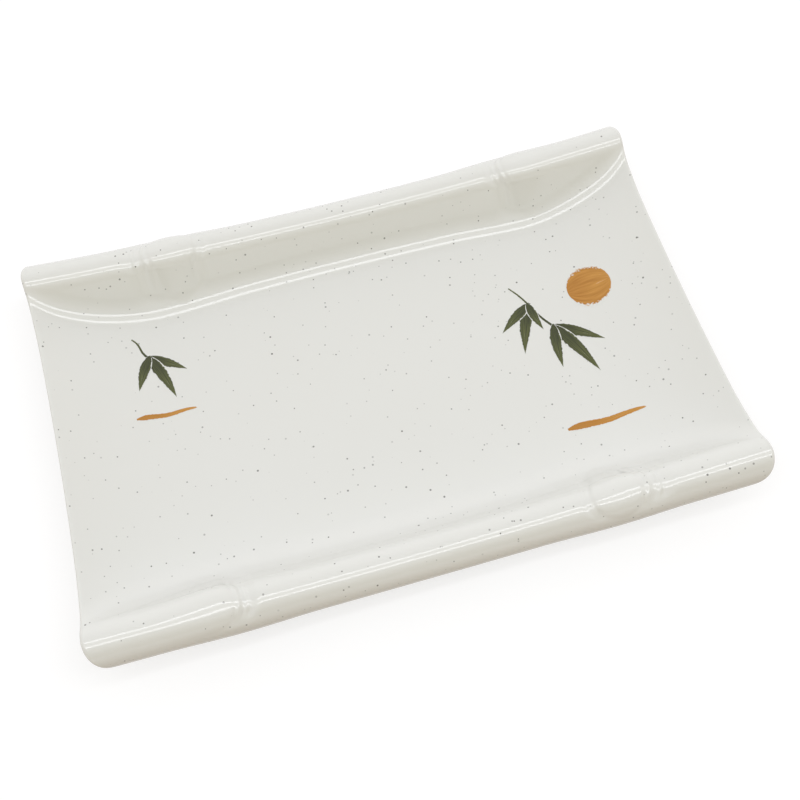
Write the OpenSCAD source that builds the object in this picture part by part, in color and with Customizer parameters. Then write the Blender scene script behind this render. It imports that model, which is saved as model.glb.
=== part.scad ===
// Rectangular sushi plate with two bamboo-shaped rims along its long sides.
// One moulded body, with thin printed decals on its floor.
// Frame: origin under the middle of the foot, X along the plate, Y across it, +Z up. Millimetres.

/* [Plate] */
// Length of the plate along its rims
plate_length = 270; // [240:1:320]
// Width of the plate over both rims, at its corners
plate_width = 180; // [160:1:220]
// Thickness of the moulded wall
wall = 3.5; // [2.5:0.1:4.5]
// Length of each upturned end, from the flat of the well to the end edge
end_length = 54.5; // [48:0.5:60]
// Depth of each end edge's middle under the tops of the corners
end_sag = 6.8; // [5:0.1:12]
// Part of that depth which the end edge regains beside the rims
end_dish = 3; // [0:0.25:4]
// Inward bow of each end edge at its middle
end_bow = 1.75; // [0:0.25:4]
// Length by which each end edge rounds off from the crest down to the lip, at the four corners
corner_radius = 10.5; // [6:0.5:12]

/* [Bamboo rims] */
// Radius of the rounded top of each rim, at mid length
rim_radius = 8.6; // [7:0.1:10]
// Growth of that radius towards the corners
rim_flare = 0.9; // [0:0.1:2]
// Height of the rims over the well, at mid length
rim_height = 17; // [15:0.2:24]
// Extra height of the rims at the corners
rim_rise = 6.2; // [3:0.2:9]
// Steepest slope of the wall between rim and well, in degrees
wall_slope = 58; // [50:1:76]
// Radius of the cove between wall and well
cove_radius = 17; // [12:0.5:24]
// Angle from the crest, over the outside, to the rim's lower lip, in degrees
lip_angle = 104; // [90:1:120]

/* [Bamboo joints] */
// Distance from mid length to the middle of the bud, at one end of each rim
bud_position = 71.5; // [60:0.5:76]
// Length of the bud along the rim
bud_length = 21; // [16:0.5:30]
// Height of the bud over the rim
bud_height = 0.8; // [0.5:0.1:2.5]
// Swelling of the rim's inner side at the bud's outer end
bud_fill = 0.7; // [0:0.1:2.5]
// Distance from mid length to the tip of the outer stem, at the other end of each rim
tip_position = 78.5; // [70:0.5:84]
// Length of the outer stem's rounded tip
tip_length = 11; // [6:0.5:16]
// Height of that tip over the rim
tip_height = 0.8; // [0.5:0.1:2.5]
// Swelling of the rim's inner side at that tip
tip_fill = 1.1; // [0:0.1:3]
// Length over which the outer stem thins out from its tip to the rim
stem_fade = 36; // [20:1:44]
// Angle that bud and tip cover on the outside of the crest, in degrees
joint_spread = 64; // [50:1:90]
// Angle that they cover on the inside; past the slope of the wall it runs on into the cove
joint_reach = 86; // [60:1:100]
// Length of one raised ring along the rim
ring_length = 2.8; // [2:0.1:4]
// Height of a raised ring
ring_height = 0.45; // [0.3:0.05:1.5]
// Depth of the neck from which the rings rise
neck_depth = 1.2; // [0:0.1:1.5]
// Swelling of the rim's radius at a joint
joint_swell = 0.6; // [0:0.1:1.5]
// Distance from a joint over which the swelling fades out
swell_reach = 32; // [15:1:40]

/* [Foot] */
// Height of the foot ring under the well
foot_height = 2.5; // [1.5:0.1:4]
// Width of the foot ring's band
foot_band = 4.5; // [3:0.1:8]
// Distance from the edge of the flat well to the foot ring
foot_inset = 3; // [1:0.5:12]
// Outer corner radius of the foot ring
foot_corner = 14; // [10:0.5:20]

/* [Prints] */
// Thickness of the printed decals
print_thickness = 0.12; // [0.08:0.01:0.3]
// Length of the longest leaf
leaf_length = 30; // [22:0.5:34]
// Width of a leaf
leaf_width = 5.6; // [3:0.1:7]
// Width of a twig
twig_width = 1; // [0.6:0.1:1.6]
// Length of the right twig
right_twig_length = 27; // [20:0.5:34]
// Distance up the right twig to its upper leaves
upper_leaves_at = 15; // [10:0.5:18]
// Length of the left twig
left_twig_length = 12; // [8:0.5:16]
// Diameter of the sun disc
sun_diameter = 19; // [12:0.5:24]
// Length of the right brush stroke
right_stroke_length = 34; // [24:0.5:40]
// Width of the right brush stroke
right_stroke_width = 3.4; // [1.5:0.1:5]
// Length of the left brush stroke
left_stroke_length = 25; // [18:0.5:32]
// Width of the left brush stroke
left_stroke_width = 2.6; // [1.5:0.1:4]
// Distance from the plate's right end to the middle of the right leaves
right_leaf_gap = 56; // [50:0.5:64]
// Distance from the plate's far side to the middle of the right leaves
right_leaf_drop = 84; // [78:0.5:90]
// Distance from the plate's left end to the middle of the left leaves
left_leaf_gap = 43; // [38:0.5:56]
// Distance from the plate's far side to the middle of the left leaves
left_leaf_drop = 50; // [46:0.5:60]
// Distance from the plate's right end to the sun disc
sun_gap = 25.5; // [22:0.5:36]
// Distance from the plate's far side to the sun disc
sun_drop = 60.5; // [54:0.5:66]
// Distance from each end of the plate to the brush stroke there
stroke_gap = 33; // [26:0.5:44]
// Distance from the plate's near side to the right brush stroke
right_stroke_rise = 46; // [44:0.5:56]
// Distance from the plate's far side to the left brush stroke
left_stroke_drop = 77; // [72:0.5:88]

/* [Hidden] */
$fn = 64;

melamine_white = [0.89, 0.88, 0.86];
leaf_green = [0.22, 0.25, 0.12];
ochre = [0.80, 0.50, 0.16];

half_length = plate_length / 2;
half_width = plate_width / 2;
well_half = half_length - end_length;
well_z = foot_height + wall;
crest_mid_z = well_z + rim_height;
end_rise = rim_height + rim_rise - end_sag;

// The rims gain height towards the corners along this power of the distance
rim_rise_power = 2;
// The end floors curve up along this power of the distance
end_rise_power = 2;
// The end floors start their further rise at this share of the distance to the rim
dish_start = 0.6;
// Depth to which the foot ring enters the floor above it
foot_root = 1;

// Steps along the curved parts of a cross section
cove_steps = 5;
rim_steps = 9;
// Places of the floor's own points, as shares of the flat half width
floor_shares = [0.45, 0.85];
// Angles of the points round the half-round lip, in degrees
lip_angles = [45, 135];

// Half-round end edges: their radius, and the angles of the slices round them
edge_radius = wall / 2;
edge_angles = [30, 55, 75];
// Slices along half the plate: mid length, bud, rings, tip and end; one closer than slice_gap is dropped.
// Those beside a joint are ring_mark ring lengths apart
mid_steps = 4;
bud_steps = 6;
ring_mark = 0.4;
inner_marks = 4;
outer_marks = 8;
tip_marks = 5;
tip_shares = [0, 0.15, 0.4, 1];
end_steps = 7;
slice_gap = 0.9;

function share(v) = min(1, max(0, v));
function smooth(v) = let (t = share(v)) t * t * (3 - 2 * t);
function hump(distance, half) = abs(distance) >= half ? 0 : (1 + cos(180 * distance / half)) / 2;
function reversed(list) = [for (i = [len(list) - 1 : -1 : 0]) list[i]];
function sorted(list) = len(list) < 2 ? list :
    let (pivot = list[floor(len(list) / 2)])
    concat(sorted([for (v = list) if (v < pivot) v]), [for (v = list) if (v == pivot) v],
           sorted([for (v = list) if (v > pivot) v]));
function thinned(list, gap) =
    [for (i = [0 : len(list) - 1]) if (i == 0 || list[i] - list[i - 1] >= gap) list[i]];

// The rims: their axis keeps its place across the plate; s runs along a rim towards its bud
rim_y = half_width - rim_radius - rim_flare;
function plain_radius(s) = rim_radius + rim_flare * pow(s / half_length, 2);
function rim_r(s) = plain_radius(s)
    + joint_swell * max(hump(s - bud_position, swell_reach), hump(s + tip_position, swell_reach));

// Heights at a distance x from mid length
function end_ramp(x) = pow(share((abs(x) - well_half) / end_length), end_rise_power);
function floor_z(x) = well_z + end_rise * end_ramp(x);
function axis_z(x) = crest_mid_z + rim_rise * pow(abs(x) / half_length, rim_rise_power)
    - end_dish * end_ramp(x) - plain_radius(x);

// The dish lifts the end floors towards the rims; it is added last, so the section below it is lower
function dish(x, y) = end_dish * end_ramp(x) * smooth((abs(y) / rim_y - dish_start) / (1 - dish_start));

// Slope of the wall, less than wall_slope where rim and cove meet without a straight part
function section_height(x, s) = axis_z(x) + rim_r(s) - floor_z(x);
function slope_at(x, s) =
    min(wall_slope, acos(max(-1, 1 - section_height(x, s) / (rim_r(s) + cove_radius))));
function flat_half_width(x, s) =
    let (slope = slope_at(x, s), arcs = rim_r(s) + cove_radius,
         straight = (section_height(x, s) - arcs * (1 - cos(slope))) / sin(slope))
    rim_y - arcs * sin(slope) - straight * cos(slope);
well_half_width = flat_half_width(0, 0);

// Distance along the rim from the outline of an oval round (0, 0), negative inside; a is the angle
// from the crest, and negative on the inside
function spread_at(a) = a < 0 ? joint_reach : joint_spread;
function oval_distance(s, a, half) = (norm([s / half, a / spread_at(a)]) - 1) * half;
pillow_power = 3;
function pillow(distance, half) = 1 - pow(share(1 + distance / half), pillow_power);
function bud_distance(s, a) = oval_distance(s - bud_position, a, bud_length / 2);
function tip_distance(s, a) = oval_distance(min(0, -s - tip_position - tip_length), a, tip_length);

// A neck goes round each joint, and rings rise from it: two beside the tip and the bud's outer end, one
// beside the bud's inner end. Places and reach are in ring lengths
tip_rings = [0.5, 1.5];
tip_neck = [1.5, 2];
outer_rings = [0.7, 2.3];
outer_neck = [2.1, 2.8];
inner_rings = [0.5];
inner_neck = [0.5, 1.2];
// Height and depth of the bud's inner collar, as a share of the outer one
inner_share = 0.5;
function ring(distance, place) = ring_height * hump(distance - place * ring_length, ring_length / 2);
function rings(distance, places) = max([for (place = places) ring(distance, place)]);
function neck(distance, place, reach) =
    neck_depth * hump(distance - place * ring_length, reach * ring_length);
// Rings and neck fade out down the sides of the rim, between these shares of the joint's angle
ring_fade = [0.3, 0.8];
neck_fade = [0.45, 1];
function faded(a, fade) = 1 - smooth((abs(a) / spread_at(a) - fade[0]) / (fade[1] - fade[0]));
function collar(distance, a, ring_places, neck_span) =
    rings(distance, ring_places) * faded(a, ring_fade)
    - neck(distance, neck_span[0], neck_span[1]) * faded(a, neck_fade);
function bud_collar(s, a) = s > bud_position
    ? collar(bud_distance(s, a), a, outer_rings, outer_neck)
    : inner_share * collar(bud_distance(s, a), a, inner_rings, inner_neck);

// Swelling of the rim's inner side, which grows along the bud, and fades out along the outer stem.
// Across the rim it lies between these angles from the crest, with its peak at the middle one
fill_angles = [20, -36, -78];
function fill_across(a) = a > fill_angles[1]
    ? smooth((fill_angles[0] - a) / (fill_angles[0] - fill_angles[1]))
    : smooth((a - fill_angles[2]) / (fill_angles[1] - fill_angles[2]));
fill_step = 4 * ring_length;
function bud_fill_at(d) = bud_fill * smooth(d / bud_length + 1 / 2)
    * (1 - smooth((d - bud_length / 2) / fill_step));
function tip_fill_at(d) = tip_fill * smooth(d / fill_step + 1 / 2) * (1 - smooth(d / stem_fade));
function fill(s, a) = (bud_fill_at(s - bud_position) + tip_fill_at(-s - tip_position)) * fill_across(a);

// All bamboo relief, which fades out over these angles before the lip and before the flat of the well
lip_fade = 40;
well_fade = 30;
function relief(s, a, slope) =
    (bud_height * pillow(bud_distance(s, a), bud_length / 2) + bud_collar(s, a)
     + tip_height * pillow(tip_distance(s, a), tip_length) * (1 - smooth((-s - tip_position) / stem_fade))
     + collar(tip_distance(s, a), a, tip_rings, tip_neck) + fill(s, a))
    * share((lip_angle - a) / lip_fade) * smooth((2 * slope + a) / well_fade);

// Half cross section from the floor outwards; depth is 0 on the top face and wall on the underside,
// which has no relief
function raised(s, a, slope, depth) = depth > 0 ? 0 : relief(s, a, slope);
function half_section(x, side, depth) =
    let (s = -side * x, slope = slope_at(x, s), flat = flat_half_width(x, s), zf = floor_z(x),
         zc = axis_z(x))
    concat(
        [for (f = floor_shares) [side * f * flat, zf - depth]],
        [for (j = [0 : cove_steps - 1]) let (a = slope * j / cove_steps,
                                             r = cove_radius + depth - raised(s, a - 2 * slope, slope, depth))
            [side * (flat + r * sin(a)), zf + cove_radius - r * cos(a)]],
        [for (j = [0 : rim_steps]) let (a = -slope + (slope + lip_angle) * j / rim_steps,
                                        r = rim_r(s) - depth + raised(s, a, slope, depth))
            [side * (rim_y + r * sin(a)), zc + r * cos(a)]]);

// Half-round lip of the rim's lower edge, from the outer face to the inner face
function lip(x, side) =
    [for (a = lip_angles) let (bead = wall / 2, r = rim_r(-side * x) - bead + bead * cos(a),
                               out = bead * sin(a))
        [side * (rim_y + r * sin(lip_angle) + out * cos(lip_angle)),
         axis_z(x) + r * cos(lip_angle) - out * sin(lip_angle)]];

function face(x, depth) =
    concat(reversed(half_section(x, -1, depth)), [[0, floor_z(x) - depth]], half_section(x, 1, depth));
function towards(p, q, t) = [for (i = [0 : len(p) - 1]) p[i] + (q[i] - p[i]) * t];

// Closed loop of one slice, thinned towards its middle by pinch for the half-round end edges
function slice(x, pinch) =
    let (top = face(x, 0), under = face(x, wall), lip_out = lip(x, 1), lip_in = reversed(lip(x, -1)),
         lip_mid = [for (p = lip_out) towards(top[len(top) - 1], under[len(under) - 1], 0.5)],
         lip_mid_in = [for (p = lip_in) towards(top[0], under[0], 0.5)])
    concat(towards(top, under, pinch / 2), towards(lip_out, lip_mid, pinch),
           reversed(towards(under, top, pinch / 2)), towards(lip_in, lip_mid_in, pinch));

// The end edges bow in at the middle, and round off at the corners from the crest down to the lip.
// This blends out along the plate over corner_blend corner radii
corner_blend = 2.4;
function corner_cut(x, p) =
    let (turn = share(atan2(abs(p[0]) - rim_y, p[1] - axis_z(x)) / lip_angle))
    corner_radius * (1 - sqrt(1 - turn * turn));
function edge_cut(x, p) = end_bow * (1 - pow(share(abs(p[0]) / rim_y), 2)) + corner_cut(x, p);
function placed_x(x, p) =
    let (length = corner_blend * corner_radius, blend = share((abs(x) - half_length + length) / length))
    x - sign(x) * edge_cut(x, p) * blend * blend;

function steps(from, to, count) = [for (i = [0 : count - 1]) from + (to - from) * i / count];
bud_half = bud_length / 2;
function ring_marks(count) = [for (k = [1 : count]) k * ring_mark * ring_length];
joint_marks = thinned(sorted(concat(
    [for (mark = ring_marks(inner_marks)) bud_position - bud_half - mark],
    [for (i = [0 : bud_steps]) bud_position - cos(180 * i / bud_steps) * bud_half],
    [for (mark = ring_marks(outer_marks)) bud_position + bud_half + mark],
    [for (mark = ring_marks(tip_marks)) tip_position - mark],
    [for (k = tip_shares) tip_position + k * tip_length])), slice_gap);
half_slices = concat(
    [for (x = concat(steps(0, joint_marks[0], mid_steps), joint_marks)) [x, 0]],
    [for (x = reversed(steps(half_length - edge_radius, joint_marks[len(joint_marks) - 1], end_steps)))
        [x, 0]],
    [for (a = edge_angles) [half_length - edge_radius * (1 - sin(a)), 1 - cos(a)]]);
slices = concat([for (i = [len(half_slices) - 1 : -1 : 1]) [-half_slices[i][0], half_slices[i][1]]],
                half_slices);

// Skin of the body: loops of points joined slice to slice, with a strip over each end edge
module moulded_skin() {
    loops = [for (s = slices) slice(s[0], s[1])];
    count = len(loops[0]);
    last = len(loops) - 1;
    top_count = len(face(0, 0));
    lip_count = len(lip_angles);
    points = [for (k = [0 : last]) for (p = loops[k])
        [placed_x(slices[k][0], p), p[0], p[1] + dish(slices[k][0], p[0])]];
    sides = [for (k = [0 : last - 1]) for (m = [0 : count - 1])
        let (n = (m + 1) % count, a = k * count + m, b = k * count + n)
        each [[a, b, a + count], [b, b + count, a + count]]];
    // Pairs of points on the two sides of an end strip, from one lip's tip over the rims to the other's
    under_last = 2 * top_count + lip_count - 1;
    pairs = concat([[count - 1, count - lip_count]],
                   [for (i = [0 : top_count - 1]) [i, under_last - i]],
                   [[top_count, top_count + lip_count - 1]]);
    strip = [for (i = [0 : len(pairs) - 2]) let (a = pairs[i], b = pairs[i + 1])
        each [[a[0], a[1], b[0]], [a[1], b[1], b[0]]]];
    far_strip = [for (f = strip) [for (i = [2 : -1 : 0]) f[i] + last * count]];
    polyhedron(points, concat(sides, strip, far_strip));
}

module rounded_rect(size_x, size_y, radius) {
    square([size_x, size_y - 2 * radius], center = true);
    square([size_x - 2 * radius, size_y], center = true);
    for (sx = [-1, 1], sy = [-1, 1])
        translate([sx * (size_x / 2 - radius), sy * (size_y / 2 - radius)]) circle(radius);
}

foot_x = 2 * (well_half - foot_inset);
foot_y = 2 * (well_half_width - foot_inset);

module foot_ring() {
    linear_extrude(foot_height + foot_root)
        difference() {
            rounded_rect(foot_x, foot_y, foot_corner);
            rounded_rect(foot_x - 2 * foot_band, foot_y - 2 * foot_band, foot_corner - foot_band);
        }
}

module plate_body() {
    color(melamine_white) union() {
        moulded_skin();
        foot_ring();
    }
}

// Height to which the prints' outlines are extruded before the film cuts them
print_depth = crest_mid_z;

// Outline of a leaf from its base at the origin along +X, fullest in its first half
leaf_steps = 14;
leaf_fullness = 0.7;
function leaf_edge(length, width, side) =
    [for (i = [0 : leaf_steps]) let (t = i / leaf_steps)
        [length * t, side * width / 2 * sin(180 * pow(t, leaf_fullness))]];
module leaf(length, width) {
    upper = leaf_edge(length, width, 1);
    lower = leaf_edge(length, width, -1);
    linear_extrude(print_depth)
        polygon(concat(upper, [for (i = [leaf_steps - 1 : -1 : 1]) lower[i]]));
}

// Leaves that fan out from one round bud; fan lists each leaf's angle and its share of leaf_length
fan_radius = leaf_width / 4;
module leaf_fan(fan) {
    for (one = fan)
        rotate(one[0]) translate([-fan_radius, 0, 0]) leaf(leaf_length * one[1], leaf_width * sqrt(one[1]));
    cylinder(print_depth, r = fan_radius);
}

// Straight twig from the origin along an angle
module twig(angle, length) {
    rotate(angle) translate([0, -twig_width / 2, 0]) cube([length, twig_width, print_depth]);
}

// Brush stroke along X, with a blunt start within stroke_start of its length and a tapering end
stroke_steps = 16;
stroke_start = 0.15;
stroke_blunt = 0.32;
stroke_taper = 0.35;
function stroke_half(t) = pow(1 - t, stroke_taper) * max(stroke_blunt, sqrt(share(t / stroke_start)));
module brush_stroke(length, width) {
    edge = [for (i = [0 : stroke_steps]) let (t = i / stroke_steps)
        [length * (t - 1 / 2), width / 2 * stroke_half(t)]];
    linear_extrude(print_depth)
        polygon(concat(edge, [for (i = [stroke_steps - 1 : -1 : 0]) [edge[i][0], -edge[i][1]]]));
}

// Film of the prints' thickness, which follows the floor from slice to slice
module floor_film() {
    film_end = half_length - corner_radius;
    places = [for (s = slices) if (abs(s[0]) < film_end) s[0]];
    last = len(places) - 1;
    points = [for (x = places) for (corner = [[-1, 0], [1, 0], [1, 1], [-1, 1]])
        [x, corner[0] * well_half_width, floor_z(x) + corner[1] * print_thickness]];
    sides = [for (k = [0 : last - 1]) for (m = [0 : 3])
        let (n = (m + 1) % 4) [4 * k + m, 4 * k + 4 + m, 4 * k + 4 + n, 4 * k + n]];
    polyhedron(points, concat(sides, [[0, 1, 2, 3]], [[for (m = [3 : -1 : 0]) 4 * last + m]]));
}

// Lays a print on the floor
module on_floor(colour, place) {
    color(colour) intersection() {
        floor_film();
        translate([place[0], place[1], 0]) children();
    }
}

// Fans: angle of each leaf and its share of leaf_length
right_lower_fan = [[-34, 0.8], [-66, 1], [-98, 0.72]];
right_upper_fan = [[-112, 0.86], [-146, 0.66], [-80, 0.5]];
left_fan = [[-32, 0.62], [-70, 0.8], [-114, 0.6]];
// Angle of both twigs
twig_angle = 118;

module right_leaf_print() {
    upper = upper_leaves_at * [cos(twig_angle), sin(twig_angle), 0];
    on_floor(leaf_green, [half_length - right_leaf_gap, half_width - right_leaf_drop]) union() {
        leaf_fan(right_lower_fan);
        twig(twig_angle, right_twig_length);
        translate(upper) leaf_fan(right_upper_fan);
    }
}

module right_sun_print() {
    radius = sun_diameter / 2;
    on_floor(ochre, [half_length - sun_gap - radius, half_width - sun_drop - radius])
        cylinder(print_depth, r = radius);
}

module right_stroke_print() {
    x = half_length - stroke_gap - right_stroke_length / 2;
    y = right_stroke_rise + right_stroke_width / 2 - half_width;
    on_floor(ochre, [x, y]) brush_stroke(right_stroke_length, right_stroke_width);
}

module left_leaf_print() {
    on_floor(leaf_green, [left_leaf_gap - half_length, half_width - left_leaf_drop]) union() {
        leaf_fan(left_fan);
        twig(twig_angle, left_twig_length);
    }
}

module left_stroke_print() {
    x = stroke_gap + left_stroke_length / 2 - half_length;
    y = half_width - left_stroke_drop - left_stroke_width / 2;
    on_floor(ochre, [x, y]) brush_stroke(left_stroke_length, left_stroke_width);
}

plate_body();
right_leaf_print();
right_sun_print();
right_stroke_print();
left_leaf_print();
left_stroke_print();
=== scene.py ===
import math

import bpy
import numpy as np
from mathutils import Matrix, Vector


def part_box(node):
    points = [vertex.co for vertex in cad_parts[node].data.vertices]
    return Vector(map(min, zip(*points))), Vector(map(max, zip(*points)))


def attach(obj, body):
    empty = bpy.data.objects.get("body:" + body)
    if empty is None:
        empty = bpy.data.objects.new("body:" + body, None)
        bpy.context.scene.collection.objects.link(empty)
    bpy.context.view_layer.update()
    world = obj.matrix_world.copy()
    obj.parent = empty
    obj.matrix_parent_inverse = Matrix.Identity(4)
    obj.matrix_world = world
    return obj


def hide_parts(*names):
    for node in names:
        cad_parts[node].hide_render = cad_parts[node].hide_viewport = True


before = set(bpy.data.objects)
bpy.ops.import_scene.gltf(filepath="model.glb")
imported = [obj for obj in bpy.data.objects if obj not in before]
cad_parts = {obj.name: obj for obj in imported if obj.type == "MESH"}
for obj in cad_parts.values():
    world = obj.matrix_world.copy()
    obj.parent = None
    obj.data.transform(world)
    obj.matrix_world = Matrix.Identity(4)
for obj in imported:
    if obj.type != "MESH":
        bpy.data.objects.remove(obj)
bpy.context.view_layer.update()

# All sizes below are in millimetres and degrees; MM turns them into Blender's metres
MM = 0.001

# Plate, with the values of the part's source
PLATE_LENGTH = 270.0
PLATE_WIDTH = 180.0
WALL = 3.5
FOOT_HEIGHT = 2.5
END_LENGTH = 54.5
END_SAG = 6.8
END_DISH = 3.0
END_BOW = 1.75
CORNER_RADIUS = 10.5
CORNER_BLEND = 2.4
DISH_START = 0.6

# Bamboo rims
RIM_RADIUS = 8.6
RIM_FLARE = 0.9
RIM_HEIGHT = 17.0
RIM_RISE = 6.2
WALL_SLOPE = 58.0
COVE_RADIUS = 17.0
LIP_ANGLE = 104.0
LIP_FADE = 40.0
WELL_FADE = 30.0

# Bamboo joints: a bud towards one end of a rim, and the tip of an outer stem towards the other
BUD_POSITION = 71.5
BUD_LENGTH = 21.0
BUD_HEIGHT = 0.8
BUD_FILL = 0.7
TIP_POSITION = 78.5
TIP_LENGTH = 11.0
TIP_HEIGHT = 0.8
TIP_FILL = 1.1
PILLOW_POWER = 3
STEM_FADE = 36.0
JOINT_SPREAD = 64.0
JOINT_REACH = 86.0
JOINT_SWELL = 0.6
SWELL_REACH = 32.0

# Rings and necks beside the joints: places and reaches in ring lengths, fades in shares of a joint's angle
RING_LENGTH = 2.8
RING_HEIGHT = 0.45
TIP_RINGS = (0.5, 1.5)
TIP_NECK = (1.5, 2.0)
OUTER_RINGS = (0.7, 2.3)
OUTER_NECK = (2.1, 2.8)
INNER_RINGS = (0.5,)
INNER_NECK = (0.5, 1.2)
INNER_SHARE = 0.5
RING_FADE = (0.3, 0.8)
NECK_FADE = (0.45, 1.0)
NECK_DEPTH = 1.2

# Fill of a rim's inner side: length of its steps, and the angles at which it starts, peaks and ends
FILL_STEP = 4 * RING_LENGTH
FILL_ANGLES = (20.0, -36.0, -78.0)

# Foot ring
FOOT_BAND = 4.5
FOOT_INSET = 3.0
FOOT_CORNER = 14.0
FOOT_ROOT = 1.0
FOOT_EDGE = 0.7

# Leaf sprigs: a fan lists the angle and the relative size of each leaf
LEAF_LENGTH = 30.0
LEAF_WIDTH = 5.6
LEAF_FULLNESS = 0.7
LEAF_BEND = 0.8
FAN_MIDDLE = -70.0
TWIG_WIDTH = 1.0
TWIG_ANGLE = 118.0
TWIG_WAVE = 0.5
TWIG_ROOT_SHARE = 1.15
TWIG_TAPER = 0.5
RIGHT_TWIG_LENGTH = 27.0
UPPER_LEAVES_AT = 15.0
LEFT_TWIG_LENGTH = 12.0
RIGHT_LEAVES = (79.0, 6.0)
LEFT_LEAVES = (-92.0, 40.0)
RIGHT_LOWER_FAN = ((-34, 0.8), (-66, 1.0), (-98, 0.72))
RIGHT_UPPER_FAN = ((-112, 0.86), (-146, 0.66), (-80, 0.5))
LEFT_FAN = ((-32, 0.62), (-70, 0.8), (-114, 0.6))

# Sun and brush strokes: a stroke has a length and a width
SUN_DIAMETER = 19.0
RIGHT_STROKE = (34.0, 3.4)
LEFT_STROKE = (25.0, 2.6)
STROKE_WAVE = 0.3
STROKE_HALF_WAVES = 3
STROKE_TAPER = 0.35
STROKE_BLUNTNESS = 0.32
STROKE_START = 0.15

# Printed sheets; EDGE_ROOM is the room for the rough edge of the ink, as a share of the half width
PRINT_THICKNESS = 0.12
SHEET_LIFT = 0.08
SHEET_ROOT = 0.05
EDGE_ROOM = 1.12
LEAST_HALF_WIDTH = 0.02
STRIP_STEPS = 40
STRIP_SIDES = 8
INK_MAP = "stroke"

# Steps along a cross section, stations along half the plate, and steps round the foot
FLOOR_STEPS = 9
COVE_STEPS = 18
RIM_STEPS = 50
LIP_STEPS = 6
EDGE_STEPS = 7
EDGE_TURN = 84.0
MID_SPACING = 2.2
JOINT_SPACING = 0.47
END_SPACING = 1.25
JOINT_START = 55.0
JOINT_END = 96.0
FOOT_EDGE_STEPS = 5
FOOT_CORNER_STEPS = 10

# Melamine: noise as scale and detail, specks as cell size, radius and share of the cells that have one
MELAMINE = (0.778, 0.785, 0.754)
MELAMINE_WARM = (0.768, 0.773, 0.738)
CLOUD_NOISE = (22.0, 3.0)
SPECK = (0.12, 0.12, 0.11)
LARGE_SPECKS = (4.6, 0.40, 0.48)
FINE_SPECKS = (3.3, 0.29, 0.58)
SPECK_EDGE = 1.3
SPECK_SHARPNESS = 2.0
SPECK_LEAST_STRENGTH = 0.2
SPECK_STRENGTH_SPREAD = 0.75

# Clear glaze
GLAZE_IOR = 1.58
GLAZE_ROUGHNESS = (0.03, 0.06)
SMEAR_NOISE = (60.0, 4.0)

# Inks, each with its dark and its light colour
LEAF_INK = ((0.018, 0.022, 0.010), (0.16, 0.18, 0.05))
OCHRE_INK = ((0.42, 0.17, 0.02), (0.66, 0.34, 0.07))
STREAK_STRETCH = (2.2, 7.0, 1.0)
STREAK_NOISE = (1.0, 5.0)
EDGE_NOISE = (900.0, 3.0)
TAIL_THINNING = 0.35
WASH_GAIN = 1.8
WASH_START = 0.7
DRY_START = 0.92
EDGE_NOISE_SHARE = 0.5
EDGE_START = 1.16
BARE_GAIN = 10.0

# Camera
CAMERA_AZIMUTH = -15.074
CAMERA_ELEVATION = 63.360
CAMERA_ROLL = -1.318
CAMERA_DISTANCE = 457.714
CAMERA_TARGET = (4.499, -12.169, 12.0)
SENSOR_WIDTH = 36.0
LENS = 49.866

# Floor: the tabletop's colours, and the white that the camera sees in their place
FLOOR_HALF = 3000.0
FLOOR_ROUGHNESS = 0.9
TABLE = (0.38, 0.30, 0.25)
TABLE_LIGHT = (0.42, 0.34, 0.29)
TABLE_NOISE = (30.0, 2.0)
WHITE_PAINT = (0.34, 0.34, 0.34)
WHITE_GLOW = 0.70

# Tube lamps: a tilt is a lamp's angle from straight up, towards the camera
TUBE_HEIGHT = 1600.0
TUBE_WIDTH = 165.0
TUBE_TILTS = (0.3, 20.0)
TUBE_SPAN = (-850.0, 1250.0)
TUBE_RADIANCE = 3.7
TUBE_COLOUR = (0.92, 0.95, 1.0)

# Room: its light by the tilt from straight up towards the camera, and its backdrop's fade by height
ROOM_LIGHT = (
    (-90, (1.06, 1.05, 0.98)), (-78, (1.06, 1.04, 0.98)), (-66, (1.05, 1.01, 0.98)),
    (-54, (0.95, 0.92, 0.89)), (-38, (0.75, 0.73, 0.74)), (-30, (0.66, 0.65, 0.68)),
    (-22, (0.60, 0.59, 0.62)), (-4, (0.62, 0.61, 0.64)), (-3, (1.34, 1.34, 1.34)),
    (23, (1.34, 1.34, 1.34)), (24, (0.57, 0.56, 0.58)), (28, (0.49, 0.48, 0.47)),
    (33, (0.68, 0.65, 0.59)), (38, (0.57, 0.53, 0.43)), (45, (0.36, 0.31, 0.19)),
    (51, (0.27, 0.23, 0.10)), (57, (0.22, 0.19, 0.07)), (64, (0.20, 0.15, 0.06)),
    (69, (0.30, 0.26, 0.12)), (75, (0.60, 0.54, 0.35)), (82, (0.72, 0.63, 0.46)),
    (90, (0.58, 0.47, 0.36)))
ROOM_PEAK = 2.0
BACKDROP_FADE = (0.20, 0.38)

# Values that follow from those above
half_length = PLATE_LENGTH / 2
half_width = PLATE_WIDTH / 2
well_half = half_length - END_LENGTH
well_z = FOOT_HEIGHT + WALL
crest_mid_z = well_z + RIM_HEIGHT
end_rise = RIM_HEIGHT + RIM_RISE - END_SAG
rim_y = half_width - RIM_RADIUS - RIM_FLARE


def share(value):
    return np.clip(value, 0.0, 1.0)


def smooth(value):
    """Soft step from 0 to 1."""
    t = share(value)
    return t * t * (3 - 2 * t)


def hump(distance, half):
    """Soft rise to 1 at distance 0, and 0 from the distance half on."""
    inside = np.abs(distance) < half
    return np.where(inside, (1 + np.cos(np.pi * distance / half)) / 2, 0.0)


# The rims: s runs along a rim towards its bud
def plain_radius(s):
    return RIM_RADIUS + RIM_FLARE * (s / half_length) ** 2


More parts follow.
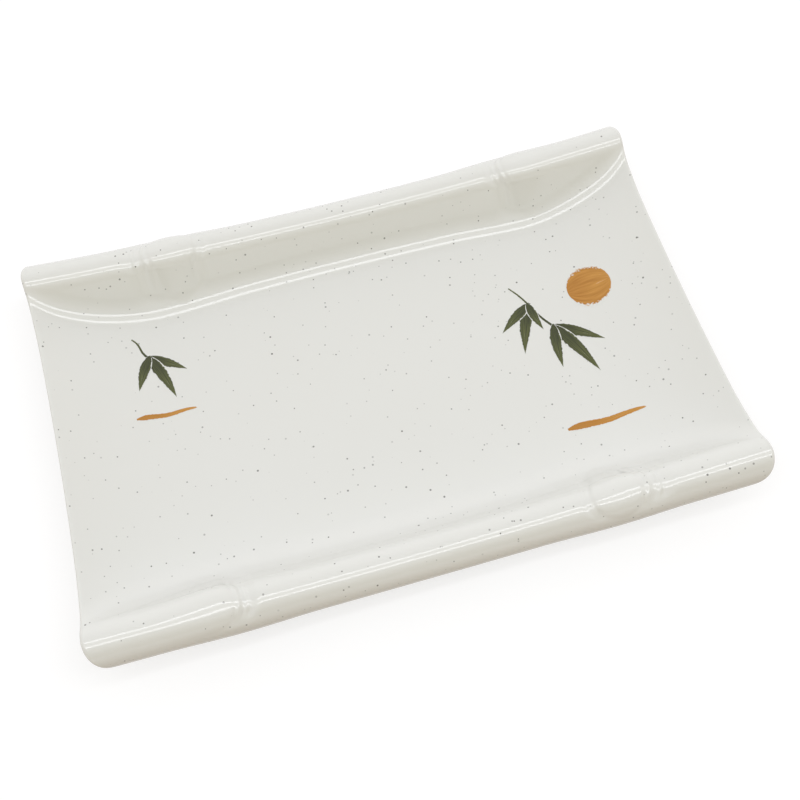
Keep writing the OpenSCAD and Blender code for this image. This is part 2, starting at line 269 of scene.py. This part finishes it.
def rim_radius(s):
    """Radius of the rim with its swelling round the joints."""
    swell = np.maximum(hump(s - BUD_POSITION, SWELL_REACH), hump(s + TIP_POSITION, SWELL_REACH))
    return plain_radius(s) + JOINT_SWELL * swell


# Heights at a distance x from mid length
def end_ramp(x):
    return share((np.abs(x) - well_half) / END_LENGTH) ** 2


def floor_z(x):
    return well_z + end_rise * end_ramp(x)


def axis_z(x):
    """Height of the rim's axis before the dish is added."""
    return crest_mid_z + RIM_RISE * (x / half_length) ** 2 - END_DISH * end_ramp(x) - plain_radius(x)


def dish(x, y):
    """Rise of the ends towards the rims."""
    return END_DISH * end_ramp(x) * smooth((np.abs(y) / rim_y - DISH_START) / (1 - DISH_START))


def wall_slope(x, s):
    """Slope of the wall in radians, under WALL_SLOPE where rim and cove meet without a straight part."""
    height = axis_z(x) + rim_radius(s) - floor_z(x)
    meeting = math.acos(max(-1.0, 1 - height / (rim_radius(s) + COVE_RADIUS)))
    return min(math.radians(WALL_SLOPE), meeting)


def flat_half_width(x, s):
    """Distance from the middle of the floor to the foot of the cove."""
    slope = wall_slope(x, s)
    arcs = rim_radius(s) + COVE_RADIUS
    straight = (axis_z(x) + rim_radius(s) - floor_z(x) - arcs * (1 - math.cos(slope))) / math.sin(slope)
    return rim_y - arcs * math.sin(slope) - straight * math.cos(slope)


# Bamboo detail: the angle is measured from the crest in degrees, and is negative on the inside
def joint_share(angle):
    return angle / np.where(angle < 0, JOINT_REACH, JOINT_SPREAD)


def oval_distance(s, angle, half):
    """Distance along the rim from the outline of an oval round (0, 0), negative inside."""
    return (np.hypot(s / half, joint_share(angle)) - 1) * half


def pillow(distance, half):
    """Rounded height of an oval, from 0 at its outline to 1 in its middle."""
    return 1 - share(1 + distance / half) ** PILLOW_POWER


def faded(angle, fade):
    start, end = fade
    return 1 - smooth((np.abs(joint_share(angle)) - start) / (end - start))


def collar(distance, angle, ring_places, neck_span):
    """Rings that rise from the neck beside a bud or a tip, and fade out down the sides of the rim."""
    neck_place, neck_reach = neck_span
    neck = NECK_DEPTH * hump(distance - neck_place * RING_LENGTH, neck_reach * RING_LENGTH)
    rings = 0.0
    for place in ring_places:
        rings = rings + RING_HEIGHT * hump(distance - place * RING_LENGTH, RING_LENGTH / 2)
    return rings * faded(angle, RING_FADE) - neck * faded(angle, NECK_FADE)


def fill(s, angle):
    """Swelling of the rim's inner side, which grows along the bud, and fades out along the outer stem."""
    past_bud = s - BUD_POSITION
    past_tip = -s - TIP_POSITION
    bud_start = smooth(past_bud / BUD_LENGTH + 0.5)
    bud_end = smooth((past_bud - BUD_LENGTH / 2) / FILL_STEP)
    tip_start = smooth(past_tip / FILL_STEP + 0.5)
    tip_end = smooth(past_tip / STEM_FADE)
    along = BUD_FILL * bud_start * (1 - bud_end) + TIP_FILL * tip_start * (1 - tip_end)
    start, peak, end = FILL_ANGLES
    rising = smooth((start - angle) / (start - peak))
    falling = smooth((angle - end) / (peak - end))
    return along * np.where(angle > peak, rising, falling)


def relief(s, angle, slope):
    """All bamboo relief, which fades out before the lip and before the flat of the well."""
    bud_distance = oval_distance(s - BUD_POSITION, angle, BUD_LENGTH / 2)
    past_tip = -s - TIP_POSITION
    tip_distance = oval_distance(min(0.0, past_tip - TIP_LENGTH), angle, TIP_LENGTH)
    bud = BUD_HEIGHT * pillow(bud_distance, BUD_LENGTH / 2)
    tip = TIP_HEIGHT * pillow(tip_distance, TIP_LENGTH) * (1 - smooth(past_tip / STEM_FADE))
    if s > BUD_POSITION:
        collars = collar(bud_distance, angle, OUTER_RINGS, OUTER_NECK)
    else:
        collars = INNER_SHARE * collar(bud_distance, angle, INNER_RINGS, INNER_NECK)
    collars = collars + collar(tip_distance, angle, TIP_RINGS, TIP_NECK)
    fade = share((LIP_ANGLE - angle) / LIP_FADE) * smooth((angle + 2 * math.degrees(slope)) / WELL_FADE)
    return (bud + tip + collars + fill(s, angle)) * fade


def half_section(x, side, depth):
    """Points (y, z) from beside the middle of the floor to the lip; depth is 0 on top, WALL underneath."""
    s = -side * x
    slope = wall_slope(x, s)
    flat = flat_half_width(x, s)
    bottom = floor_z(x)
    floor_y = flat * np.linspace(0, 1, FLOOR_STEPS, endpoint=False)[1:]
    floor = np.stack([floor_y, np.full_like(floor_y, bottom - depth)], axis=1)
    turn = np.linspace(0, slope, COVE_STEPS, endpoint=False)
    angle = np.linspace(-math.degrees(slope), LIP_ANGLE, RIM_STEPS)
    cove_radius = COVE_RADIUS + depth
    radius = rim_radius(s) - depth
    if depth == 0:
        cove_radius = cove_radius - relief(s, np.degrees(turn - 2 * slope), slope)
        radius = radius + relief(s, angle, slope)
    cove_y = flat + cove_radius * np.sin(turn)
    cove_z = bottom + COVE_RADIUS - cove_radius * np.cos(turn)
    around = np.radians(angle)
    rim = np.stack([rim_y + radius * np.sin(around), axis_z(x) + radius * np.cos(around)], axis=1)
    points = np.concatenate([floor, np.stack([cove_y, cove_z], axis=1), rim])
    points[:, 0] *= side
    return points


def lip(x, side):
    """Points round the half-round lip, from the outer face to the inner face."""
    turn = np.linspace(0, np.pi, LIP_STEPS + 2)[1:-1]
    bead = WALL / 2
    radius = rim_radius(-side * x) - bead + bead * np.cos(turn)
    out = bead * np.sin(turn)
    angle = math.radians(LIP_ANGLE)
    y = rim_y + radius * math.sin(angle) + out * math.cos(angle)
    z = axis_z(x) + radius * math.cos(angle) - out * math.sin(angle)
    return np.stack([side * y, z], axis=1)


def face(x, depth):
    """Points (y, z) of the top or the underside, from one lip to the other."""
    middle = np.array([[0.0, floor_z(x) - depth]])
    return np.concatenate([half_section(x, -1, depth)[::-1], middle, half_section(x, 1, depth)])


def slice_loop(x, pinch):
    """Closed loop of one slice, thinned towards its middle by pinch for the half-round end edges."""
    top = face(x, 0)
    under = face(x, WALL)
    middle = (top + under) / 2
    lip_right = lip(x, 1)
    lip_left = lip(x, -1)[::-1]
    lip_right = lip_right + (middle[-1] - lip_right) * pinch
    lip_left = lip_left + (middle[0] - lip_left) * pinch
    top = top + (middle - top) * pinch
    under = under + (middle - under) * pinch
    return np.concatenate([top, lip_right, under[::-1], lip_left])


def placed_x(x, y, z):
    """Plan of the end edges: bowed in at the middle, and rounded off from the crest down to the lip."""
    turn = share(np.degrees(np.arctan2(np.abs(y) - rim_y, z - axis_z(x))) / LIP_ANGLE)
    corner = CORNER_RADIUS * (1 - np.sqrt(1 - turn**2))
    bow = END_BOW * (1 - share(np.abs(y) / rim_y) ** 2)
    length = CORNER_BLEND * CORNER_RADIUS
    blend = share((abs(x) - half_length + length) / length) ** 2
    return x - math.copysign(1, x) * (corner + bow) * blend


def stations():
    """Pairs of a place along X and a pinch, from the left end to the right end."""
    edge = WALL / 2
    last = half_length - edge
    spans = [(0.0, JOINT_START, MID_SPACING), (JOINT_START, JOINT_END, JOINT_SPACING),
             (JOINT_END, last, END_SPACING)]
    half = []
    for start, end, spacing in spans:
        places = np.linspace(start, end, round((end - start) / spacing), endpoint=False)
        half += [(x, 0.0) for x in places]
    for turn in np.linspace(0, math.radians(EDGE_TURN), EDGE_STEPS):
        half.append((last + edge * math.sin(turn), 1 - math.cos(turn)))
    return [(-x, pinch) for x, pinch in half[:0:-1]] + half


def shade_smooth(mesh):
    mesh.polygons.foreach_set("use_smooth", [True] * len(mesh.polygons))


def mesh_object(name, vertices, faces, material):
    """New object in the scene, shaded smooth."""
    mesh = bpy.data.meshes.new(name)
    mesh.from_pydata(vertices, [], faces)
    mesh.validate()
    shade_smooth(mesh)
    mesh.materials.append(material)
    piece = bpy.data.objects.new(name, mesh)
    bpy.context.scene.collection.objects.link(piece)
    return piece


def body_skin():
    """Vertices and faces of the moulded skin: loops joined slice to slice, with a strip at each end."""
    loops = []
    for x, pinch in stations():
        y, z = slice_loop(x, pinch).T
        loops.append(np.stack([placed_x(x, y, z), y, z + dish(x, y)], axis=1))
    count = len(loops[0])
    last = len(loops) - 1
    faces = []
    for row in range(last):
        for column in range(count):
            here = row * count + column
            beside = row * count + (column + 1) % count
            faces.append((here, beside, beside + count, here + count))
    # Pairs of points that face each other on the top and the underside, from one lip to the other
    top_count = (count - 2 * LIP_STEPS) // 2
    under_last = 2 * top_count + LIP_STEPS - 1
    lip_steps = range(LIP_STEPS // 2 - 1, -1, -1)
    pairs = [(count - 1 - step, count - LIP_STEPS + step) for step in lip_steps]
    pairs += [(step, under_last - step) for step in range(top_count)]
    pairs += [(top_count + step, top_count + LIP_STEPS - 1 - step) for step in reversed(lip_steps)]
    for (top, under), (next_top, next_under) in zip(pairs, pairs[1:]):
        faces.append((top, under, next_under, next_top))
        right_end = (next_top, next_under, under, top)
        faces.append(tuple(last * count + index for index in right_end))
    return np.concatenate(loops) * MM, faces


def inside_box(vertices, low, high):
    """Vertices drawn in towards the box's bottom centre, axis by axis, where they reach past the box."""
    low = np.array(low)
    high = np.array(high)
    base = np.array([(low[0] + high[0]) / 2, (low[1] + high[1]) / 2, low[2]])
    reach = np.abs(vertices - base).max(axis=0)
    return base + (vertices - base) * np.minimum(1.0, (high - base) / reach)


def rounded_rectangle(size_x, size_y, radius):
    """Outline points of a rounded rectangle, counter-clockwise."""
    points = []
    quarter_turns = np.linspace(0, math.pi / 2, FOOT_CORNER_STEPS)
    for quarter, (side_x, side_y) in enumerate([(1, 1), (-1, 1), (-1, -1), (1, -1)]):
        for turn in quarter_turns + quarter * math.pi / 2:
            points.append((side_x * (size_x / 2 - radius) + radius * math.cos(turn),
                           side_y * (size_y / 2 - radius) + radius * math.sin(turn)))
    return points


def foot_ring():
    """Vertices and faces of the foot ring: a band with rounded lower edges, swept round a rectangle."""
    outer_x = 2 * (well_half - FOOT_INSET)
    outer_y = 2 * (flat_half_width(0, 0) - FOOT_INSET)
    root = FOOT_HEIGHT + FOOT_ROOT
    turns = np.linspace(0, math.pi / 2, FOOT_EDGE_STEPS)
    lower_outer = [(FOOT_EDGE * (1 - math.cos(t)), FOOT_EDGE * (1 - math.sin(t))) for t in turns]
    lower_inner = [(FOOT_BAND - FOOT_EDGE * (1 - math.sin(t)), FOOT_EDGE * (1 - math.cos(t))) for t in turns]
    profile = [(0.0, root), *lower_outer, *lower_inner, (FOOT_BAND, root)]
    vertices = []
    for inset, z in profile:
        outline = rounded_rectangle(outer_x - 2 * inset, outer_y - 2 * inset, FOOT_CORNER - inset)
        vertices += [(x, y, z) for x, y in outline]
    count = len(outline)
    rows = len(profile)
    faces = []
    for row in range(rows):
        this_row = row * count
        next_row = (row + 1) % rows * count
        for column in range(count):
            beside = (column + 1) % count
            faces.append((this_row + column, next_row + column, next_row + beside, this_row + beside))
    return np.array(vertices) * MM, faces


def new_material(name):
    """New material, with its node tree and its shader."""
    material = bpy.data.materials.new(name)
    material.use_nodes = True
    tree = material.node_tree
    return material, tree, tree.nodes["Principled BSDF"]


# Node helpers: each adds its node to a tree and returns the output socket
def math_node(tree, operation, *values, clamp=False):
    """Math node on sockets and plain numbers."""
    node = tree.nodes.new("ShaderNodeMath")
    node.operation = operation
    node.use_clamp = clamp
    for socket, value in zip(node.inputs, values):
        if isinstance(value, (int, float)):
            socket.default_value = value
        else:
            tree.links.new(value, socket)
    return node.outputs[0]


def mix_colour(tree, factor, first, second):
    """Mix of two colours, each a socket or a plain colour."""
    node = tree.nodes.new("ShaderNodeMix")
    node.data_type = "RGBA"
    tree.links.new(factor, node.inputs["Factor"])
    for socket, value in ((node.inputs["A"], first), (node.inputs["B"], second)):
        if isinstance(value, tuple):
            socket.default_value = (*value, 1.0)
        else:
            tree.links.new(value, socket)
    return node.outputs["Result"]


def noise(tree, vector, settings):
    scale, detail = settings
    node = tree.nodes.new("ShaderNodeTexNoise")
    node.inputs["Scale"].default_value = scale
    node.inputs["Detail"].default_value = detail
    tree.links.new(vector, node.inputs["Vector"])
    return node.outputs["Fac"]


def map_range(tree, value, from_span, to_span):
    node = tree.nodes.new("ShaderNodeMapRange")
    limits = ("From Min", "From Max", "To Min", "To Max")
    for limit, number in zip(limits, (*from_span, *to_span)):
        node.inputs[limit].default_value = number
    tree.links.new(value, node.inputs["Value"])
    return node.outputs["Result"]


def seen_share(tree):
    """One for rays from the camera, also by way of gloss or glass, and nought for light on the object."""
    rays = tree.nodes.new("ShaderNodeLightPath").outputs
    seen = math_node(tree, "MAXIMUM", rays["Is Camera Ray"], rays["Is Glossy Ray"])
    return math_node(tree, "MAXIMUM", seen, rays["Is Transmission Ray"])


def speck_mask(tree, position, specks):
    """Sparse round specks, each with its own strength."""
    cell, radius, keep = specks
    voronoi = tree.nodes.new("ShaderNodeTexVoronoi")
    voronoi.inputs["Scale"].default_value = 1 / (cell * MM)
    tree.links.new(position, voronoi.inputs["Vector"])
    parts = tree.nodes.new("ShaderNodeSeparateColor")
    tree.links.new(voronoi.outputs["Color"], parts.inputs["Color"])
    near = math_node(tree, "DIVIDE", voronoi.outputs["Distance"], radius / cell)
    soft = math_node(tree, "SUBTRACT", SPECK_EDGE, near, clamp=True)
    disc = math_node(tree, "MULTIPLY", soft, SPECK_SHARPNESS, clamp=True)
    kept = math_node(tree, "LESS_THAN", parts.outputs["Red"], keep)
    strength = math_node(tree, "MULTIPLY_ADD", parts.outputs["Green"], SPECK_STRENGTH_SPREAD,
                         SPECK_LEAST_STRENGTH)
    return math_node(tree, "MULTIPLY", math_node(tree, "MULTIPLY", disc, kept), strength)


def melamine_colour(tree):
    """Off-white with faint warm clouds and grey specks; returns its socket and the position socket."""
    position = tree.nodes.new("ShaderNodeTexCoord").outputs["Object"]
    white = mix_colour(tree, noise(tree, position, CLOUD_NOISE), MELAMINE, MELAMINE_WARM)
    large = speck_mask(tree, position, LARGE_SPECKS)
    fine = speck_mask(tree, position, FINE_SPECKS)
    return mix_colour(tree, math_node(tree, "MAXIMUM", large, fine), white, SPECK), position


def glaze(tree, shader, position):
    """Gloss of the clear glaze, a little uneven."""
    shader.inputs["IOR"].default_value = GLAZE_IOR
    smear = noise(tree, position, SMEAR_NOISE)
    tree.links.new(map_range(tree, smear, (0.0, 1.0), GLAZE_ROUGHNESS), shader.inputs["Roughness"])


def melamine_material():
    material, tree, shader = new_material("melamine")
    colour, position = melamine_colour(tree)
    tree.links.new(colour, shader.inputs["Base Color"])
    glaze(tree, shader, position)
    return material


def ink_material(name, dark, light):
    """Brush ink under the glaze, from dark ink to a thin wash and bare melamine."""
    material, tree, shader = new_material(name)
    white, position = melamine_colour(tree)
    stroke = tree.nodes.new("ShaderNodeUVMap")
    stroke.uv_map = INK_MAP
    parts = tree.nodes.new("ShaderNodeSeparateXYZ")
    tree.links.new(stroke.outputs["UV"], parts.inputs["Vector"])
    along = parts.outputs["X"]
    across = math_node(tree, "ABSOLUTE", parts.outputs["Y"])
    # Streaks run along the stroke: the noise is finer across it than along it
    stretch = tree.nodes.new("ShaderNodeMapping")
    stretch.inputs["Scale"].default_value = STREAK_STRETCH
    tree.links.new(stroke.outputs["UV"], stretch.inputs["Vector"])
    streaks = noise(tree, stretch.outputs["Vector"], STREAK_NOISE)
    # Ink gets thin towards the tail of the stroke
    tail = math_node(tree, "MULTIPLY", along, TAIL_THINNING)
    wash_shift = math_node(tree, "SUBTRACT", tail, WASH_START)
    wash = math_node(tree, "MULTIPLY_ADD", streaks, WASH_GAIN, wash_shift, clamp=True)
    ink = mix_colour(tree, wash, dark, light)
    # Bare melamine: dry streaks in the tail, and a rough outer edge
    dry = math_node(tree, "ADD", streaks, math_node(tree, "SUBTRACT", tail, DRY_START))
    edge_shift = math_node(tree, "SUBTRACT", across, EDGE_START)
    edge_noise = noise(tree, position, EDGE_NOISE)
    rough_edge = math_node(tree, "MULTIPLY_ADD", edge_noise, EDGE_NOISE_SHARE, edge_shift)
    open_share = math_node(tree, "MAXIMUM", dry, rough_edge)
    bare = math_node(tree, "MULTIPLY", open_share, BARE_GAIN, clamp=True)
    tree.links.new(mix_colour(tree, bare, ink, white), shader.inputs["Base Color"])
    glaze(tree, shader, position)
    return material


def build_body():
    """Glazed body: the moulded skin, joined with its foot ring."""
    melamine = melamine_material()
    body_low, body_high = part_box("plate_body")
    skin_vertices, skin_faces = body_skin()
    skin_vertices = inside_box(skin_vertices, body_low, body_high)
    body = mesh_object("plate_body_glazed", skin_vertices, skin_faces, melamine)
    foot_vertices, foot_faces = foot_ring()
    foot = mesh_object("foot_ring", foot_vertices, foot_faces, melamine)
    union = body.modifiers.new("foot", "BOOLEAN")
    union.operation = "UNION"
    union.solver = "MANIFOLD"
    union.object = foot
    depsgraph = bpy.context.evaluated_depsgraph_get()
    joined = bpy.data.meshes.new_from_object(body.evaluated_get(depsgraph))
    body.modifiers.clear()
    body.data = joined
    bpy.data.objects.remove(foot)
    shade_smooth(joined)
    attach(body, "root")
    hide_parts("plate_body")


# Prints: thin sheets of strips; a strip is a grid of plan points with the ink's own coordinates
def strip(spine, half_widths):
    """Strip across a spine; the ink's coordinates run from 0 to 1 along it and from -1 to 1 across it."""
    tangent = np.gradient(spine, axis=0)
    tangent /= np.linalg.norm(tangent, axis=1, keepdims=True)
    normal = np.stack([-tangent[:, 1], tangent[:, 0]], axis=1)
    across = np.linspace(-1, 1, STRIP_SIDES + 1)
    plan = spine[:, None] + normal[:, None] * (half_widths[:, None] * across)[:, :, None] * EDGE_ROOM
    along = np.linspace(0, 1, len(spine))
    ink = np.stack(np.broadcast_arrays(along[:, None], across[None, :] * EDGE_ROOM), axis=2)
    return plan, ink


def turned(points, angle, place):
    """Points turned about the origin by an angle and then moved to a place."""
    cosine = math.cos(math.radians(angle))
    sine = math.sin(math.radians(angle))
    return points @ np.array([[cosine, sine], [-sine, cosine]]) + np.array(place)


def leaf_strip(length, width, angle, place, bend):
    """Leaf from its base along an angle, fullest in its first half and bent to one side."""
    t = np.linspace(0, 1, STRIP_STEPS)
    spine = np.stack([length * t, bend * np.sin(np.pi * t)], axis=1)
    half = width / 2 * np.sin(np.pi * t**LEAF_FULLNESS)
    return strip(turned(spine, angle, place), np.maximum(half, LEAST_HALF_WIDTH))


def fan_strips(fan, place):
    """Leaves of one fan, each bent a little away from the fan's middle."""
    strips = []
    base = LEAF_WIDTH / 4
    for angle, size in fan:
        start = turned(np.array([[-base, 0.0]]), angle, place)[0]
        bend = LEAF_BEND * math.copysign(size, angle - FAN_MIDDLE)
        strips.append(leaf_strip(LEAF_LENGTH * size, LEAF_WIDTH * math.sqrt(size), angle, start, bend))
    return strips


def twig_strip(length, place):
    """Twig from a place along TWIG_ANGLE, a little wavy and thinner towards its end."""
    t = np.linspace(0, 1, STRIP_STEPS)
    spine = np.stack([length * t, TWIG_WAVE * np.sin(2 * np.pi * t)], axis=1)
    half = TWIG_WIDTH / 2 * (TWIG_ROOT_SHARE - TWIG_TAPER * t)
    return strip(turned(spine, TWIG_ANGLE, place), half)


def stroke_strip(size, place):
    """Brush stroke along X round a place, with a blunt start and a tapering end."""
    length, width = size
    t = np.linspace(0, 1, STRIP_STEPS)
    wave = STROKE_WAVE * np.sin(STROKE_HALF_WAVES * np.pi * t)
    spine = np.stack([length * (t - 0.5), wave], axis=1) + np.array(place)
    taper = np.maximum(1 - t, 0.0) ** STROKE_TAPER
    start = np.maximum(STROKE_BLUNTNESS, np.sqrt(share(t / STROKE_START)))
    return strip(spine, np.maximum(width / 2 * taper * start, LEAST_HALF_WIDTH))


def sun_strip(diameter, place):
    """Disc as one broad stroke from left to right."""
    turn = np.pi * (1 - np.linspace(0, 1, STRIP_STEPS))
    spine = np.stack([diameter / 2 * np.cos(turn), np.zeros(STRIP_STEPS)], axis=1) + np.array(place)
    return strip(spine, np.maximum(diameter / 2 * np.sin(turn), LEAST_HALF_WIDTH))


def grid_faces(start, rows, columns):
    """Faces of a grid of vertices that are numbered row by row from start."""
    faces = []
    for row in range(rows - 1):
        for column in range(columns - 1):
            corner = start + row * columns + column
            faces.append((corner, corner + columns, corner + columns + 1, corner + 1))
    return faces


def grid_rim(start, rows, columns):
    """Numbers of the vertices round such a grid."""
    rim = [start + row * columns for row in range(rows)]
    rim += [start + (rows - 1) * columns + column for column in range(1, columns)]
    rim += [start + row * columns + columns - 1 for row in range(rows - 2, -1, -1)]
    rim += [start + column for column in range(columns - 2, 0, -1)]
    return rim


def print_piece(node, material, strips):
    """One sheet piece from its strips; each lies on the floor, the later ones a hair over the earlier."""
    vertices = []
    faces = []
    inks = []
    for order, (plan, ink) in enumerate(strips):
        rows, columns = plan.shape[:2]
        start = len(vertices)
        lift = SHEET_LIFT + order * (PRINT_THICKNESS - SHEET_LIFT) / len(strips)
        heights = floor_z(plan[:, :, 0]) + lift
        grid = np.concatenate([plan, heights[:, :, None]], axis=2).reshape(-1, 3)
        vertices += [tuple(point) for point in grid * MM]
        inks += [tuple(pair) for pair in ink.reshape(-1, 2)]
        faces += grid_faces(start, rows, columns)
        rim = grid_rim(start, rows, columns)
        # The sheet's sides have their own vertices, so that its top is shaded flat up to the edge
        upper = len(vertices)
        lower = upper + len(rim)
        for drop in (0.0, lift + SHEET_ROOT):
            for index in rim:
                x, y, z = vertices[index]
                vertices.append((x, y, z - drop * MM))
                inks.append(inks[index])
        for step in range(len(rim)):
            after = (step + 1) % len(rim)
            faces.append((upper + step, lower + step, lower + after, upper + after))
    piece = mesh_object(f"{node}_ink", vertices, faces, material)
    layer = piece.data.uv_layers.new(name=INK_MAP)
    for loop in piece.data.loops:
        layer.data[loop.index].uv = inks[loop.vertex_index]
    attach(piece, "root")
    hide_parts(node)


def middle_of(node):
    """Middle of a node's box in plan."""
    low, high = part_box(node)
    return ((low.x + high.x) / 2 / MM, (low.y + high.y) / 2 / MM)


def build_prints():
    leaf_ink = ink_material("leaf_ink", *LEAF_INK)
    ochre_ink = ink_material("ochre_ink", *OCHRE_INK)
    upper_leaves = turned(np.array([UPPER_LEAVES_AT, 0.0]), TWIG_ANGLE, RIGHT_LEAVES)
    print_piece("right_leaf_print", leaf_ink,
                [twig_strip(RIGHT_TWIG_LENGTH, RIGHT_LEAVES), *fan_strips(RIGHT_UPPER_FAN, upper_leaves),
                 *fan_strips(RIGHT_LOWER_FAN, RIGHT_LEAVES)])
    print_piece("left_leaf_print", leaf_ink,
                [twig_strip(LEFT_TWIG_LENGTH, LEFT_LEAVES), *fan_strips(LEFT_FAN, LEFT_LEAVES)])
    print_piece("right_sun_print", ochre_ink,
                [sun_strip(SUN_DIAMETER, middle_of("right_sun_print"))])
    print_piece("right_stroke_print", ochre_ink,
                [stroke_strip(RIGHT_STROKE, middle_of("right_stroke_print"))])
    print_piece("left_stroke_print", ochre_ink,
                [stroke_strip(LEFT_STROKE, middle_of("left_stroke_print"))])


def set_camera():
    """Camera at the photograph's viewing angle."""
    azimuth = math.radians(CAMERA_AZIMUTH)
    elevation = math.radians(CAMERA_ELEVATION)
    roll = math.radians(CAMERA_ROLL)
    back = Vector((math.sin(azimuth) * math.cos(elevation), -math.cos(azimuth) * math.cos(elevation),
                   math.sin(elevation)))
    level_right = Vector((math.cos(azimuth), math.sin(azimuth), 0))
    level_up = back.cross(level_right)
    right = level_right * math.cos(roll) + level_up * math.sin(roll)
    up = level_up * math.cos(roll) - level_right * math.sin(roll)
    place = (Vector(CAMERA_TARGET) + back * CAMERA_DISTANCE) * MM
    camera_data = bpy.data.cameras.new("camera")
    camera_data.sensor_width = SENSOR_WIDTH
    camera_data.lens = LENS
    camera = bpy.data.objects.new("camera", camera_data)
    camera.matrix_world = Matrix((
        (right.x, up.x, back.x, place.x),
        (right.y, up.y, back.y, place.y),
        (right.z, up.z, back.z, place.z),
        (0, 0, 0, 1)))
    bpy.context.scene.collection.objects.link(camera)
    bpy.context.scene.camera = camera


def build_floor():
    """Plain tabletop that lights the object's underside, and that the camera sees as white with a shadow."""
    floor_material, tree, shader = new_material("floor")
    position = tree.nodes.new("ShaderNodeTexCoord").outputs["Object"]
    table = mix_colour(tree, noise(tree, position, TABLE_NOISE), TABLE, TABLE_LIGHT)
    seen = seen_share(tree)
    tree.links.new(mix_colour(tree, seen, table, WHITE_PAINT), shader.inputs["Base Color"])
    tree.links.new(math_node(tree, "MULTIPLY", seen, WHITE_GLOW), shader.inputs["Emission Strength"])
    shader.inputs["Emission Color"].default_value = (1.0, 1.0, 1.0, 1.0)
    shader.inputs["Roughness"].default_value = FLOOR_ROUGHNESS
    shader.inputs["Specular IOR Level"].default_value = 0.0
    corners = [(-1, -1), (1, -1), (1, 1), (-1, 1)]
    floor_vertices = [(x * FLOOR_HALF * MM, y * FLOOR_HALF * MM, 0.0) for x, y in corners]
    floor = mesh_object("floor", floor_vertices, [(0, 1, 2, 3)], floor_material)


def build_lamps():
    """Two tube lamps along X over the plate."""
    start, end = TUBE_SPAN
    for row, tilt in enumerate(TUBE_TILTS):
        lamp = bpy.data.lights.new(f"tube_{row}", "AREA")
        lamp.shape = "RECTANGLE"
        lamp.color = TUBE_COLOUR
        lamp.size = (end - start) * MM
        lamp.size_y = TUBE_WIDTH * MM
        lamp.energy = TUBE_RADIANCE * math.pi * lamp.size * lamp.size_y
        tube = bpy.data.objects.new(lamp.name, lamp)
        tube_y = -TUBE_HEIGHT * math.tan(math.radians(tilt))
        tube.location = Vector(((start + end) / 2, tube_y, TUBE_HEIGHT)) * MM
        tube.rotation_euler = (math.radians(tilt), 0, 0)
        bpy.context.scene.collection.objects.link(tube)


def build_world():
    """Light of the room, with a white backdrop low over the floor for what the camera and the gloss see."""
    world = bpy.data.worlds.new("room")
    world.use_nodes = True
    bpy.context.scene.world = world
    tree = world.node_tree
    direction = tree.nodes.new("ShaderNodeSeparateXYZ")
    tree.links.new(tree.nodes.new("ShaderNodeTexCoord").outputs["Generated"], direction.inputs["Vector"])
    towards_camera = math_node(tree, "MULTIPLY", direction.outputs["Y"], -1.0)
    tilt = math_node(tree, "ARCTAN2", towards_camera, direction.outputs["Z"])
    # The ramp's 0 to 1 stands for tilts from -90 to 90 degrees
    ramp_place = math_node(tree, "MULTIPLY_ADD", tilt, 1 / math.pi, 0.5)
    ramp = tree.nodes.new("ShaderNodeValToRGB")
    tree.links.new(ramp_place, ramp.inputs["Fac"])
    stops = ramp.color_ramp.elements
    while len(stops) < len(ROOM_LIGHT):
        stops.new(0.5)
    for stop, (angle, colour) in zip(stops, ROOM_LIGHT):
        stop.position = angle / 180 + 0.5
        stop.color = (*(value / ROOM_PEAK for value in colour), 1.0)
    low_share = map_range(tree, direction.outputs["Z"], BACKDROP_FADE, (1.0, 0.0))
    backdrop = math_node(tree, "MULTIPLY", seen_share(tree), low_share)
    white = (1 / ROOM_PEAK,) * 3
    background = tree.nodes["Background"]
    tree.links.new(mix_colour(tree, backdrop, ramp.outputs["Color"], white), background.inputs["Color"])
    background.inputs["Strength"].default_value = ROOM_PEAK


build_body()
build_prints()
set_camera()
build_floor()
build_lamps()
build_world()
bpy.context.scene.view_settings.view_transform = "Standard"
